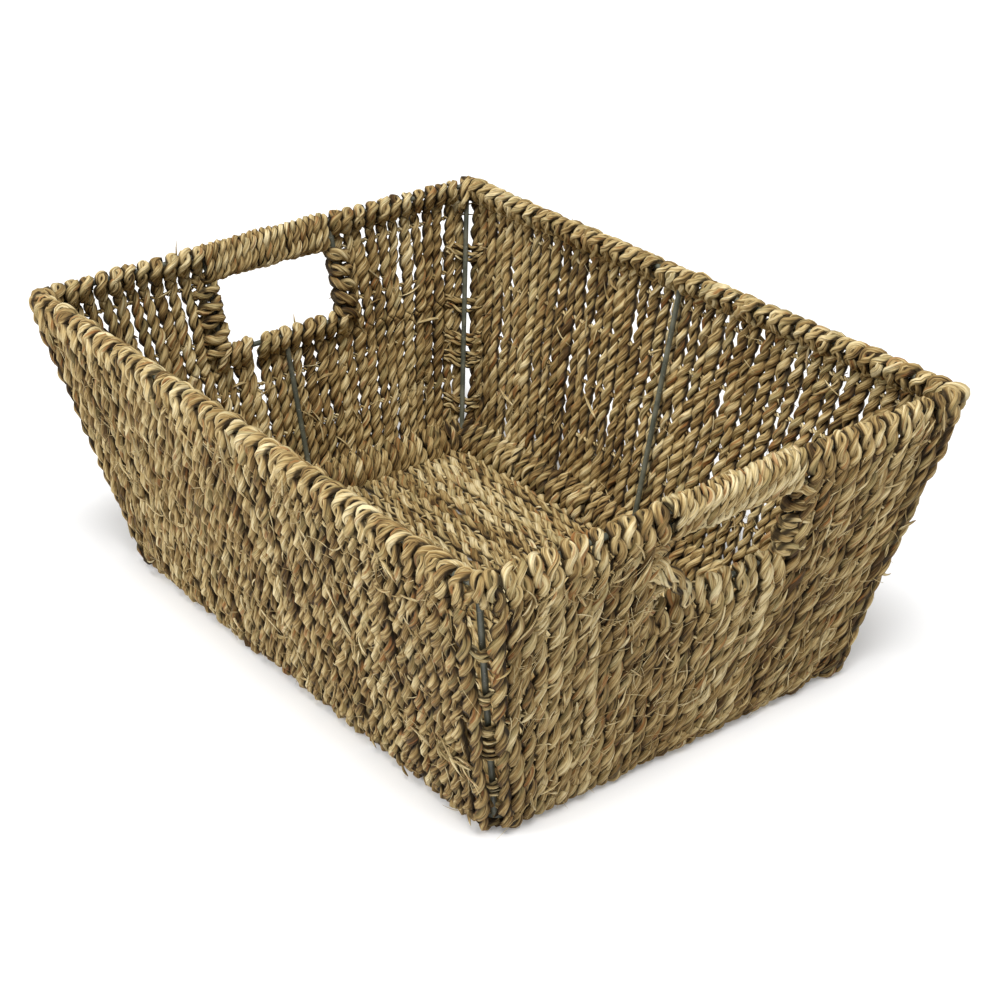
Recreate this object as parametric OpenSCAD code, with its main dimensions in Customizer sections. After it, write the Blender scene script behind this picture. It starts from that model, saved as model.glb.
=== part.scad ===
// Seagrass storage basket: a painted wire cage with twisted seagrass cord woven over it.
// Millimetres, +Z up, long walls along X. The origin is the middle of the underside.

/* [Cage] */
// Length of the rim wire loop, centre to centre
rim_len = 388; // [322:1:470]
// Width of the rim wire loop, centre to centre
rim_wid = 288; // [236:1:350]
// Length of the base wire loop, centre to centre
base_len = 320; // [250:1:386]
// Width of the base wire loop, centre to centre
base_wid = 222; // [170:1:286]
// Height of the rim wire above the base wire, centre to centre
wire_rise = 151; // [120:1:190]
// Thickness of the cage wire
wire_d = 3; // [2.4:0.1:3.8]
// Bend radius of the rim wire at its four corners
rim_bend_r = 10; // [8:0.5:16]
// Bend radius of the base wire at its four corners
base_bend_r = 10; // [8:0.5:16]

/* [Handles] */
// Half the distance between the two upright wires of a handle
handle_half = 42; // [34:0.5:52]
// Distance down the wall from the rim wire to the handle's sill wire
handle_drop = 58; // [48:0.5:70]
// Distance down the wall from the rim wire to the lower wire in the grip
grip_drop = 10; // [8:0.5:13]
// Bend radius of the handle wire
handle_bend_r = 5; // [4:0.5:7]
// Thickness of the cord wrapped round the grip and over the sill
grip_cord_d = 5; // [4:0.1:6]
// Thickness of the cord bound round the handle's upright wires
side_cord_d = 4.5; // [3.6:0.1:5.4]

/* [Seagrass] */
// Thickness of the twisted cord in the walls, the rim and the base
cord_d = 6; // [5:0.1:7.2]
// Thickness of the thin twine that runs through the walls in rows
twine_d = 2.6; // [2:0.1:3.2]
// How far the rim cords reach down the wall below the rim wire
rim_drop = 10; // [8:0.5:13]
// How far the sill cords reach down the wall below the sill wire
sill_drop = 10; // [8:0.5:13]
// Height of one lashing round a corner upright
lash_h = 9; // [7:0.5:12]
// Thickness of the lashings round the corner uprights
lash_d = 2.6; // [2:0.1:3]

/* [Clearances] */
// Gap between neighbouring seagrass pieces
gap = 0.2; // [0.1:0.05:0.3]
// Gap all round a wire that lies in a seagrass channel
wire_gap = 0.1; // [0.05:0.05:0.2]

/* [Hidden] */
$fn = 48;

wire_r = wire_d / 2;
// Outer radius of wall cord wrapped once round a wire, and of grip and side cord
hem_r = wire_r + cord_d;
grip_r = wire_r + grip_cord_d;
side_r = wire_r + side_cord_d;
// The base cords pass under the base wire and rest on the floor
z_base = cord_d + wire_r;
z_rim = z_base + wire_rise;

// A wall is [turn about Z, rim and base distance from the middle, rim and base length]
LONG = [rim_wid / 2, base_wid / 2, rim_len, base_len];
END = [rim_len / 2, base_len / 2, rim_wid, base_wid];
FRONT = 0;
RIGHT = 90;
BACK = 180;
LEFT = 270;

function run(wall) = wall[0] - wall[1];
function tilt(wall) = atan2(run(wall), wire_rise);
function slope(wall) = norm([run(wall), wire_rise]);
// Half the wall's length at a distance down the wall
function half_at(wall, down) = (wall[2] - (wall[2] - wall[3]) * down / slope(wall)) / 2;

// A corner upright stands on the middle of the bends, this far in from the sharp corner
function bend_in(bend_r) = bend_r * (1 - cos(45));
lash_r = wire_r + lash_d;
// The wall sheets lie outside the uprights and outside the corner lashings
sheet_in = max(wire_r + gap, lash_r + gap - min(bend_in(rim_bend_r), bend_in(base_bend_r)));
sheet_mid = sheet_in + cord_d / 2;
// How far the sheets stop short of the sharp corner, so that the upright shows
sheet_end = 3;

// Levels down a wall
sheet_top = rim_drop + gap;
cheek_foot = handle_drop + sill_drop;
low_top = cheek_foot + gap;
function sheet_foot(wall) = slope(wall) - hem_r - gap;

// The rim cords stop where the next wall's rim cords would meet them
function wrap_end(wall, next_wall) =
    half_at(wall, 0) - gap - max(rim_bend_r, hem_r + rim_drop * sin(tilt(next_wall)));
hem_stop = max(base_bend_r, hem_r) + gap;

// Where the rows of twine lie, as shares of the height of the sheet that they run through
long_rows = [0.05, 0.29, 0.53, 0.77];
cheek_rows = [0.14, 0.7];
low_rows = [0.2, 0.62];
// Where the lashings lie, as shares of a corner upright's length from the rim
lash_rows = [0.24, 0.44, 0.58, 0.66, 0.84];

CORNERS = [["front_left", -1, -1], ["front_right", 1, -1], ["back_left", -1, 1], ["back_right", 1, 1]];
LONG_WALLS = [["front", FRONT], ["back", BACK]];
END_WALLS = [["left", LEFT], ["right", RIGHT]];
SIDES = [["a", -1], ["b", 1]];

module painted_steel() {
    color([0.30, 0.34, 0.34]) children();
}

module seagrass() {
    color([0.66, 0.57, 0.38]) children();
}

module pale_seagrass() {
    color([0.76, 0.68, 0.48]) children();
}

// Wall frame: X runs along the wall, Y up its slope from the rim wire, Z out of its outer face
module on_wall(turn, wall) {
    rotate([0, 0, turn])
        translate([0, -wall[0], z_rim])
            rotate([90 + tilt(wall), 0, 0])
                children();
}

// Extrudes a profile along the wall. The profile's X is up the slope and its Y is outward.
module along_wall(start, stop) {
    translate([start, 0, 0])
        rotate([90, 0, 90])
            linear_extrude(stop - start)
                children();
}

// A straight wire from one level down the wall to another
module upright(u, from_down, to_down, d) {
    translate([u, -from_down, 0])
        rotate([90, 0, 0])
            cylinder(h = to_down - from_down, d = d);
}

// A straight wire along the wall
module level(start, stop, down, out, d) {
    translate([start, -down, out])
        rotate([0, 90, 0])
            cylinder(h = stop - start, d = d);
}

// A straight wire from point to point, cut short by trim at both ends
module rod(from, to, trim, d) {
    way = to - from;
    span = norm(way);
    translate(from)
        rotate([0, acos(way[2] / span), atan2(way[1], way[0])])
            translate([0, 0, trim])
                cylinder(h = span - 2 * trim, d = d);
}

// A closed rectangular loop of wire with bent corners
module wire_loop(length, width, bend_r) {
    for (s = [-1, 1]) {
        translate([-length / 2 + bend_r, s * width / 2, 0])
            rotate([0, 90, 0])
                cylinder(h = length - 2 * bend_r, d = wire_d);
        translate([s * length / 2, width / 2 - bend_r, 0])
            rotate([90, 0, 0])
                cylinder(h = width - 2 * bend_r, d = wire_d);
    }
    for (quarter = [[1, 1, 0], [-1, 1, 90], [-1, -1, 180], [1, -1, 270]])
        translate([quarter[0] * (length / 2 - bend_r), quarter[1] * (width / 2 - bend_r), 0])
            rotate([0, 0, quarter[2]])
                rotate_extrude(angle = 90)
                    translate([bend_r, 0])
                        circle(d = wire_d);
}

module rim_wire() {
    painted_steel()
        translate([0, 0, z_rim])
            wire_loop(rim_len, rim_wid, rim_bend_r);
}

module base_wire() {
    painted_steel()
        translate([0, 0, z_base])
            wire_loop(base_len, base_wid, base_bend_r);
}

// Ends of a corner upright, on the middle of the rim and base bends
function stile_top(sx, sy) = [
    sx * (rim_len / 2 - bend_in(rim_bend_r)), sy * (rim_wid / 2 - bend_in(rim_bend_r)), z_rim
];
function stile_foot(sx, sy) = [
    sx * (base_len / 2 - bend_in(base_bend_r)), sy * (base_wid / 2 - bend_in(base_bend_r)), z_base
];

module corner_stile(sx, sy) {
    way = stile_foot(sx, sy) - stile_top(sx, sy);
    // How far the upright leans along the wire's bends, as a share of its length
    lean = abs(sx * way[0] - sy * way[1]) / sqrt(2) / norm(way);
    painted_steel()
        rod(stile_top(sx, sy), stile_foot(sx, sy), wire_r * (1 + lean) / sqrt(1 - lean * lean), wire_d);
}

module long_stile(turn) {
    painted_steel()
        on_wall(turn, LONG)
            upright(0, wire_r, slope(LONG) - wire_r, wire_d);
}

module end_stile(turn) {
    painted_steel()
        on_wall(turn, END)
            upright(0, handle_drop + wire_r, slope(END) - wire_r, wire_d);
}

// One bent wire: down one side of the handle, along the sill and up the other side
module handle_wire(turn) {
    painted_steel()
        on_wall(turn, END) {
            for (s = [-1, 1])
                upright(s * handle_half, wire_r, handle_drop - handle_bend_r, wire_d);
            level(-handle_half + handle_bend_r, handle_half - handle_bend_r, handle_drop, 0, wire_d);
            for (corner = [[-1, 180], [1, 270]])
                translate([corner[0] * (handle_half - handle_bend_r), handle_bend_r - handle_drop, 0])
                    rotate([0, 0, corner[1]])
                        rotate_extrude(angle = 90)
                            translate([handle_bend_r, 0])
                                circle(d = wire_d);
        }
}

module grip_wire(turn) {
    painted_steel()
        on_wall(turn, END)
            level(-handle_half + wire_r, handle_half - wire_r, grip_drop, 0, wire_d);
}

module wire_channel_profile() {
    circle(d = wire_d + 2 * wire_gap);
}

// Cord looped over a wire: round on top, both legs hanging down by drop
module loop_profile(r, drop) {
    difference() {
        union() {
            circle(r = r);
            translate([-drop, -r])
                square([drop, 2 * r]);
        }
        wire_channel_profile();
    }
}

// Cord wrapped round two parallel wires, one below the other
module grip_profile() {
    difference() {
        union() {
            circle(r = grip_r);
            translate([-grip_drop, -grip_r])
                square([grip_drop, 2 * grip_r]);
            translate([-grip_drop, 0])
                circle(r = grip_r);
        }
        wire_channel_profile();
        translate([-grip_drop, 0])
            wire_channel_profile();
    }
}

module rim_wrap(turn, wall, next_wall, start, side) {
    stop = wrap_end(wall, next_wall);
    seagrass()
        on_wall(turn, wall)
            along_wall(side > 0 ? start : -stop, side > 0 ? stop : -start)
                loop_profile(hem_r, rim_drop);
}

module grip(turn) {
    reach = handle_half - wire_r - gap;
    pale_seagrass()
        on_wall(turn, END)
            along_wall(-reach, reach)
                grip_profile();
}

// The sill cords leave a slot for the upright that stands below the handle
module sill_wrap(turn) {
    reach = handle_half - handle_bend_r - gap;
    slot = wire_d + 2 * gap;
    pale_seagrass()
        on_wall(turn, END)
            difference() {
                translate([0, -handle_drop, 0])
                    along_wall(-reach, reach)
                        loop_profile(grip_r, sill_drop);
                translate([-slot / 2, -cheek_foot - gap, -grip_r - gap])
                    cube([slot, sill_drop + gap, grip_r + gap + slot / 2]);
            }
}

module side_binding(turn, side) {
    top = grip_drop + grip_r + gap;
    foot = handle_drop - grip_r - gap;
    seagrass()
        on_wall(turn, END)
            difference() {
                upright(side * handle_half, top, foot, 2 * side_r);
                upright(side * handle_half, top - gap, foot + gap, wire_d + 2 * wire_gap);
            }
}

// A flat sheet of side-by-side cords, drawn as a polygon on the wall, with channels for twine rows
module sheet(points, rows, reach) {
    difference() {
        translate([0, 0, sheet_in])
            linear_extrude(cord_d)
                polygon(points);
        for (down = rows)
            level(-reach, reach, down, sheet_mid, twine_d + 2 * wire_gap);
    }
}

function corner_edge(wall, down) = half_at(wall, down) - sheet_end;
function row_levels(shares, top, foot) = [for (share = shares) top + share * (foot - top)];

module wall_weave(turn) {
    top = sheet_top;
    foot = sheet_foot(LONG);
    seagrass()
        on_wall(turn, LONG)
            sheet(
                [
                    [-corner_edge(LONG, top), -top],
                    [corner_edge(LONG, top), -top],
                    [corner_edge(LONG, foot), -foot],
                    [-corner_edge(LONG, foot), -foot]
                ],
                row_levels(long_rows, top, foot),
                rim_len / 2
            );
}

module low_weave(turn) {
    foot = sheet_foot(END);
    seagrass()
        on_wall(turn, END)
            sheet(
                [
                    [-corner_edge(END, low_top), -low_top],
                    [corner_edge(END, low_top), -low_top],
                    [corner_edge(END, foot), -foot],
                    [-corner_edge(END, foot), -foot]
                ],
                row_levels(low_rows, low_top, foot),
                rim_wid / 2
            );
}

// The piece of wall beside a handle. Below the binding it reaches in to the sill cords.
cheek_in = handle_half + side_r + gap;
cheek_step = handle_drop - grip_r;
cheek_low_in = handle_half - handle_bend_r;

module cheek_weave(turn, side) {
    top = sheet_top;
    seagrass()
        on_wall(turn, END)
            sheet(
                [
                    [side * cheek_in, -top],
                    [side * corner_edge(END, top), -top],
                    [side * corner_edge(END, cheek_foot), -cheek_foot],
                    [side * cheek_low_in, -cheek_foot],
                    [side * cheek_low_in, -cheek_step],
                    [side * cheek_in, -cheek_step]
                ],
                row_levels(cheek_rows, top, cheek_foot),
                rim_wid / 2
            );
}

// Twine rows that fill the channels of the sheets on one wall
module long_twine(turn) {
    pale_seagrass()
        on_wall(turn, LONG)
            for (down = row_levels(long_rows, sheet_top, sheet_foot(LONG)))
                level(-corner_edge(LONG, down), corner_edge(LONG, down), down, sheet_mid, twine_d);
}

module end_twine(turn) {
    pale_seagrass()
        on_wall(turn, END) {
            for (down = row_levels(low_rows, low_top, sheet_foot(END)))
                level(-corner_edge(END, down), corner_edge(END, down), down, sheet_mid, twine_d);
            for (down = row_levels(cheek_rows, sheet_top, cheek_foot)) {
                level(cheek_in, corner_edge(END, down), down, sheet_mid, twine_d);
                level(-corner_edge(END, down), -cheek_in, down, sheet_mid, twine_d);
            }
        }
}

// The cords that turn under the base wire, with a slot for the upright in the middle of the wall
module base_hem(turn, wall) {
    reach = half_at(wall, slope(wall)) - hem_stop;
    seagrass()
        on_wall(turn, wall)
            difference() {
                level(-reach, reach, slope(wall), 0, 2 * hem_r);
                level(-reach - gap, reach + gap, slope(wall), 0, wire_d + 2 * wire_gap);
                upright(0, slope(wall) - 2 * hem_r, slope(wall), wire_d + 2 * gap);
            }
}

// The flat bottom, cut back where the hems turn under the base wire
module base_weave() {
    seagrass()
        difference() {
            translate([-base_len / 2, -base_wid / 2, 0])
                cube([base_len, base_wid, cord_d - gap]);
            for (s = [-1, 1]) {
                translate([-base_len / 2, s * base_wid / 2, z_base])
                    rotate([0, 90, 0])
                        cylinder(h = base_len, r = hem_r + gap);
                translate([s * base_len / 2, base_wid / 2, z_base])
                    rotate([90, 0, 0])
                        cylinder(h = base_wid, r = hem_r + gap);
            }
        }
}

// Short lashings round a corner upright, where the two walls are tied to it
module corner_lashing(sx, sy) {
    top = stile_top(sx, sy);
    way = stile_foot(sx, sy) - top;
    half = lash_h / norm(way) / 2;
    seagrass()
        for (share = lash_rows)
            difference() {
                rod(top + way * (share - half), top + way * (share + half), 0, 2 * lash_r);
                rod(top, top + way, 0, wire_d + 2 * wire_gap);
            }
}

rim_wire();
base_wire();
base_weave();

for (corner = CORNERS) {
    corner_stile(corner[1], corner[2]);
    corner_lashing(corner[1], corner[2]);
}

for (wall = LONG_WALLS) {
    long_stile(wall[1]);
    wall_weave(wall[1]);
    long_twine(wall[1]);
    base_hem(wall[1], LONG);
    for (side = SIDES)
        rim_wrap(wall[1], LONG, END, wire_r + gap, side[1]);
}

for (wall = END_WALLS) {
    end_stile(wall[1]);
    handle_wire(wall[1]);
    grip_wire(wall[1]);
    grip(wall[1]);
    sill_wrap(wall[1]);
    low_weave(wall[1]);
    end_twine(wall[1]);
    base_hem(wall[1], END);
    for (side = SIDES) {
        cheek_weave(wall[1], side[1]);
        side_binding(wall[1], side[1]);
        rim_wrap(wall[1], END, LONG, handle_half + wire_r + gap, side[1]);
    }
}
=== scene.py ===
"""Seagrass storage basket: twisted cord on a painted wire cage.

Everything is in metres, in the frame of the CAD part. The wires are the CAD's own
nodes. Each seagrass node is replaced by the cords that it stands for, laid ply by ply.
"""

import logging
import math
from dataclasses import dataclass, field, fields
from enum import Enum

import bmesh
import bpy
import numpy as np
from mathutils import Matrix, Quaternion, Vector


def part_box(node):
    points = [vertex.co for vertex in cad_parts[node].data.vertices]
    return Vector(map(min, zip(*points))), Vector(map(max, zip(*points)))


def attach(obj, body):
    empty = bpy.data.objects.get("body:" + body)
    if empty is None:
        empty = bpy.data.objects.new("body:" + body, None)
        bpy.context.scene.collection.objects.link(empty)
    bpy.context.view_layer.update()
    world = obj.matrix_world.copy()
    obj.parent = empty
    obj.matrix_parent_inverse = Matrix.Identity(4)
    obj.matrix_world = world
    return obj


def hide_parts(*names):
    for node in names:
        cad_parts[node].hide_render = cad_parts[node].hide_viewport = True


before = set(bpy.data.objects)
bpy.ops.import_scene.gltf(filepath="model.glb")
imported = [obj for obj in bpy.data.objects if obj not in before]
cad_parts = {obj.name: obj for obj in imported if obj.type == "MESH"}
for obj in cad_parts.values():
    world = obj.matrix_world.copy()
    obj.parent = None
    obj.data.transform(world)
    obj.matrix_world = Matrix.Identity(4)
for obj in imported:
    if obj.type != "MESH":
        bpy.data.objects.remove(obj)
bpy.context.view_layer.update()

MM = 0.001
LOG = logging.getLogger("basket")

# Distance between two rows of twine, in the walls and in the bottom
ROW_PITCH = 33 * MM
# Distances down the wall from the rim wire to the rows of twine
TWINE_ROWS = (17 * MM, 50 * MM, 83 * MM, 116 * MM)
# How far along a cord a row of twine squeezes it
SQUEEZE = 6.5 * MM
# Length of twine in one turn of its two plies
TWINE_TURN = 5.2 * MM
# How far out from the wires' own plane the middle of the wall cords lies
SHEET_MID = 4.7 * MM
# Middle of the base cords above the floor
BASE_MID = 3.1 * MM
# Lowest that any strand may reach above the floor
CLEARANCE = 0.1 * MM
# Cords that end at the sill of each hand hole
SILL_CORDS = 11
# A whole turn
TURN = 2 * math.pi


class Kind(Enum):
    """The kinds of seagrass: name, how much paler than the walls, and the two ends of the painted shade in
    the seam between the plies.
    """

    WALL = ("wall", 0.0, (0.66, 0.42))
    RIM = ("rim", 0.0, (0.52, 0.32))
    BASE = ("base", -0.01, (0.66, 0.42))
    TWINE = ("twine", 0.08, (0.66, 0.42))

    @property
    def slot(self) -> str:
        """The material's name."""
        return "seagrass_" + self.value[0]


@dataclass(frozen=True)
class WallPlan:
    """How one wall is woven.

    Its cords, their half turns between two rows of twine, the distance from its corners to the
    outermost ones, where a gap parts the cords below its hand hole, and which end has bare rim wire.
    """

    count: int
    half_turns: int
    edge: float
    part_at: float | None = None
    bare_end: int = 0


PLANS = {
    "front": WallPlan(44, 3, 4.5 * MM, bare_end=1),
    "right": WallPlan(35, 3, 4.5 * MM, bare_end=-1),
    "back": WallPlan(44, 4, 3.1 * MM),
    "left": WallPlan(35, 4, 3.1 * MM, part_at=19 * MM),
}


# ---------------------------------------------------------------- helpers


def wander(rng: np.random.Generator, s: np.ndarray, step: float, size: float) -> np.ndarray:
    """A smooth random wave along a path.

    Args:
        rng: source of the random knots.
        s: distance along the path at each point.
        step: distance between knots.
        size: standard deviation of the knots.

    Returns:
        One value for each point.
    """
    t = (s - s.min()) / step
    knots = rng.normal(0.0, size, int(t.max()) + 3)
    low = np.floor(t).astype(int)
    share = t - low
    share = share * share * (3 - 2 * share)
    return knots[low] * (1 - share) + knots[low + 1] * share


def smooth_path(points: np.ndarray, step: float) -> np.ndarray:
    """A Catmull-Rom curve through control points, with even steps.

    Args:
        points: control points, one in each row.
        step: distance between the points given back.

    Returns:
        Points along the curve.
    """
    p = np.vstack([2 * points[0] - points[1], points, 2 * points[-1] - points[-2]])
    fine = []
    t = np.linspace(0, 1, 12, endpoint=False)[:, None]
    for i in range(1, len(p) - 2):
        a, b, c, d = p[i - 1], p[i], p[i + 1], p[i + 2]
        square, cube = 2 * a - 5 * b + 4 * c - d, 3 * b - a - 3 * c + d
        fine.append(0.5 * (2 * b + (c - a) * t + square * t**2 + cube * t**3))
    fine.append(p[-2][None])
    return even_steps(np.vstack(fine), step)


def even_steps(points: np.ndarray, step: float) -> np.ndarray:
    """Points at even steps along a polyline.

    Args:
        points: the polyline's points.
        step: distance between the points given back.

    Returns:
        The new points.
    """
    s = lengths(points)
    count = max(4, int(round(s[-1] / step)) + 1)
    even = np.linspace(0, s[-1], count)
    return np.stack([np.interp(even, s, points[:, k]) for k in range(points.shape[1])], 1)


def lengths(points: np.ndarray) -> np.ndarray:
    """Distance along a polyline at each of its points."""
    return np.concatenate([[0.0], np.cumsum(np.linalg.norm(np.diff(points, axis=0), axis=1))])


def unit(v: np.ndarray) -> np.ndarray:
    """Rows of v, each made one long."""
    return v / np.maximum(np.linalg.norm(v, axis=-1, keepdims=True), 1e-12)


def squeeze(at: np.ndarray, rows: tuple | np.ndarray) -> np.ndarray:
    """How tightly rows of twine hold a cord at each place along it, from 0 to 1."""
    return sum(np.exp(-(((at - row) / SQUEEZE) ** 2)) for row in rows)


def taper(s: np.ndarray, length: float, least: float) -> np.ndarray:
    """Thickness along a strand that thins to a least share of itself towards both ends."""
    return np.clip(np.minimum(s, s[-1] - s) / length, least, 1.0)


# ---------------------------------------------------------------- finishes


class Nodes:
    """Adds and links the nodes of one material."""

    def __init__(self, material: bpy.types.Material) -> None:
        """Starts with the material's own shader."""
        material.use_nodes = True
        self.tree = material.node_tree
        self.shader = self.tree.nodes["Principled BSDF"]

    def add(self, kind: str, **values: object) -> bpy.types.Node:
        """A new node.

        Args:
            kind: the node's type, without its ShaderNode prefix.
            values: settings of the node.

        Returns:
            The node.
        """
        node = self.tree.nodes.new("ShaderNode" + kind)
        for name, value in values.items():
            setattr(node, name, value)
        return node

    def link(self, out: bpy.types.NodeSocket, into: bpy.types.NodeSocket) -> None:
        """Joins two sockets."""
        self.tree.links.new(out, into)

    def attribute(self, name: str, output: str = "Fac") -> bpy.types.NodeSocket:
        """The output of an attribute that the mesh holds."""
        return self.add("Attribute", attribute_name=name).outputs[output]

    def noise(
        self, where: bpy.types.NodeSocket, scale: tuple, detail: float = 2.0, rough: float = 0.5
    ) -> bpy.types.NodeSocket:
        """Noise stretched by a scale on each axis.

        Args:
            where: coordinates in metres.
            scale: waves in a metre along each axis.
            detail: octaves.
            rough: strength of the finer octaves.

        Returns:
            The noise, from 0 to 1.
        """
        mapping = self.add("Mapping")
        mapping.inputs["Scale"].default_value = scale
        self.link(where, mapping.inputs["Vector"])
        noise = self.add("TexNoise")
        noise.inputs["Scale"].default_value = 1.0
        noise.inputs["Detail"].default_value = detail
        noise.inputs["Roughness"].default_value = rough
        self.link(mapping.outputs["Vector"], noise.inputs["Vector"])
        return noise.outputs["Fac"]

    def math(self, operation: str, a: object, b: object) -> bpy.types.NodeSocket:
        """Arithmetic on two sockets or numbers.

        Args:
            operation: the node's own name for it.
            a: a socket or a number.
            b: a socket or a number.

        Returns:
            The result.
        """
        node = self.add("Math", operation=operation)
        for value, socket in ((a, node.inputs[0]), (b, node.inputs[1])):
            if isinstance(value, (int, float)):
                socket.default_value = value
            else:
                self.link(value, socket)
        return node.outputs[0]

    def span(
        self,
        value: bpy.types.NodeSocket,
        low: float,
        high: float,
        to_low: float = 0.0,
        to_high: float = 1.0,
    ) -> bpy.types.NodeSocket:
        """A value stretched smoothly from one range to another, and held there.

        Args:
            value: what is stretched.
            low: the value that gives to_low.
            high: the value that gives to_high; it may be the lower of the two.
            to_low: one end of the new range.
            to_high: the other end of it.

        Returns:
            The stretched value.
        """
        node = self.add("MapRange", interpolation_type="SMOOTHSTEP")
        limits = {"From Min": low, "From Max": high, "To Min": to_low, "To Max": to_high}
        for name, limit in limits.items():
            node.inputs[name].default_value = limit
        self.link(value, node.inputs["Value"])
        return node.outputs["Result"]

    def ramp(self, value: bpy.types.NodeSocket, stops: list) -> bpy.types.NodeSocket:
        """A colour ramp.

        Args:
            value: where on the ramp, from 0 to 1.
            stops: pairs of position and colour.

        Returns:
            The colour.
        """
        node = self.add("ValToRGB")
        elements = node.color_ramp.elements
        while len(elements) < len(stops):
            elements.new(0.5)
        for element, (position, color) in zip(elements, stops):
            element.position = position
            element.color = (*color, 1.0)
        self.link(value, node.inputs["Fac"])
        return node.outputs["Color"]

    def mix(self, share: bpy.types.NodeSocket, a: object, b: tuple) -> bpy.types.NodeSocket:
        """A mix of two colours.

        Args:
            share: how much of the second colour, from 0 to 1.
            a: the first colour, a socket or three numbers.
            b: the second colour, three numbers.

        Returns:
            The colour.
        """
        node = self.add("Mix", data_type="RGBA", blend_type="MIX")
        into = {socket.identifier: socket for socket in node.inputs}
        self.link(share, into["Factor_Float"])
        if isinstance(a, tuple):
            into["A_Color"].default_value = (*a, 1.0)
        else:
            self.link(a, into["A_Color"])
        into["B_Color"].default_value = (*b, 1.0)
        return next(socket for socket in node.outputs if socket.identifier == "Result_Color")

    def bump(self, height: bpy.types.NodeSocket, distance: float, strength: float = 1.0) -> None:
        """Gives the shader a bumpy normal.

        Args:
            height: the height of the surface, from 0 to 1.
            distance: how high a height of 1 stands, in metres.
            strength: how much of the bump shows.
        """
        node = self.add("Bump")
        node.inputs["Strength"].default_value = strength
        node.inputs["Distance"].default_value = distance
        self.link(height, node.inputs["Height"])
        self.link(node.outputs["Normal"], self.shader.inputs["Normal"])


@dataclass(frozen=True)
class SeagrassFinish:
    """Dry twisted seagrass: fibres along each ply, patches of colour, painted shade in the creases and a
    painted highlight on the crests.

    Each noise scale is the number of waves in a metre, along the ply and across it.
    """

    kind: Kind
    dark: tuple = (0.066, 0.034, 0.009)
    mid: tuple = (0.255, 0.162, 0.055)
    pale: tuple = (0.490, 0.365, 0.165)
    tip: tuple = (0.700, 0.585, 0.340)
    olive: tuple = (0.215, 0.180, 0.072)
    rust: tuple = (0.270, 0.108, 0.028)
    crease_shade: tuple = (0.014, 0.008, 0.002)
    stops: tuple = (0.08, 0.38, 0.66, 0.96)
    broad_scale: tuple = (70, 640, 640)
    fine_scale: tuple = (120, 1900, 1900)
    blotch_scale: tuple = (110, 240, 240)
    patch_scale: tuple = (26, 26, 26)
    olive_scale: tuple = (55, 300, 300)
    rust_scale: tuple = (75, 420, 420)
    broad_share: float = 0.34
    shares: tuple = (0.70, 0.60, 0.46, 0.26, 0.34, 0.12)
    offset: float = -1.03
    specular: float = 0.24
    bump_height: float = 1.3 * MM

    def build(self) -> bpy.types.Material:
        """The finish as a material."""
        material = bpy.data.materials.new(self.kind.slot)
        n = Nodes(material)
        lay = n.attribute("lay", "Vector")
        tone, depth, crest, strip = (n.attribute(k) for k in ("tone", "depth", "crest", "strip"))
        place = n.add("TexCoord").outputs["Object"]
        broad = n.span(n.noise(lay, self.broad_scale, 2.0, 0.55), 0.32, 0.68)
        fine = n.noise(lay, self.fine_scale, 2.0, 0.6)
        blotch = n.noise(lay, self.blotch_scale)
        patch = n.noise(place, self.patch_scale, 3.0, 0.55)
        hue = n.noise(lay, self.olive_scale, 1.0)

        _, lift, seam_shade_span = self.kind.value
        value = n.math("MULTIPLY_ADD", broad, self.broad_share)
        value.node.inputs[2].default_value = self.offset + lift
        # The crest and strip shares are a painted highlight: paler on the crest of each ply, where it faces
        # out of or into the wall, and on its outer lobes
        for part, share in zip((fine, tone, blotch, patch, crest, strip), self.shares):
            value = n.math("ADD", value, n.math("MULTIPLY", part, share))
        color = n.ramp(value, list(zip(self.stops, (self.dark, self.mid, self.pale, self.tip))))
        color = n.mix(n.span(hue, 0.54, 0.74, 0.0, 0.5), color, self.olive)
        rusty = n.span(n.noise(lay, self.rust_scale, 1.0), 0.62, 0.71, 0.0, 0.7)
        color = n.mix(rusty, color, self.rust)

        # Painted shade: dark in the grooves between fibres, in the seam between the two plies, and down the
        # flanks of a ply
        groove_shade = n.span(n.math("ADD", strip, n.math("MULTIPLY", blotch, 0.8)), 0.62, 0.28, 0.0, 0.7)
        seam_shade = n.span(depth, *seam_shade_span, 0.0, 0.95)
        flank_shade = n.span(crest, 0.46, 0.12, 0.0, 0.88)
        shade = n.math("MAXIMUM", n.math("MAXIMUM", groove_shade, seam_shade), flank_shade)
        n.link(n.mix(shade, color, self.crease_shade), n.shader.inputs["Base Color"])

        n.link(n.span(fine, 0.2, 0.8, 0.92, 0.62), n.shader.inputs["Roughness"])
        n.shader.inputs["Specular IOR Level"].default_value = self.specular
        relief = n.math("ADD", n.math("MULTIPLY", broad, 0.45), n.math("MULTIPLY", fine, 0.55))
        n.bump(relief, self.bump_height)
        return material


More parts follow.
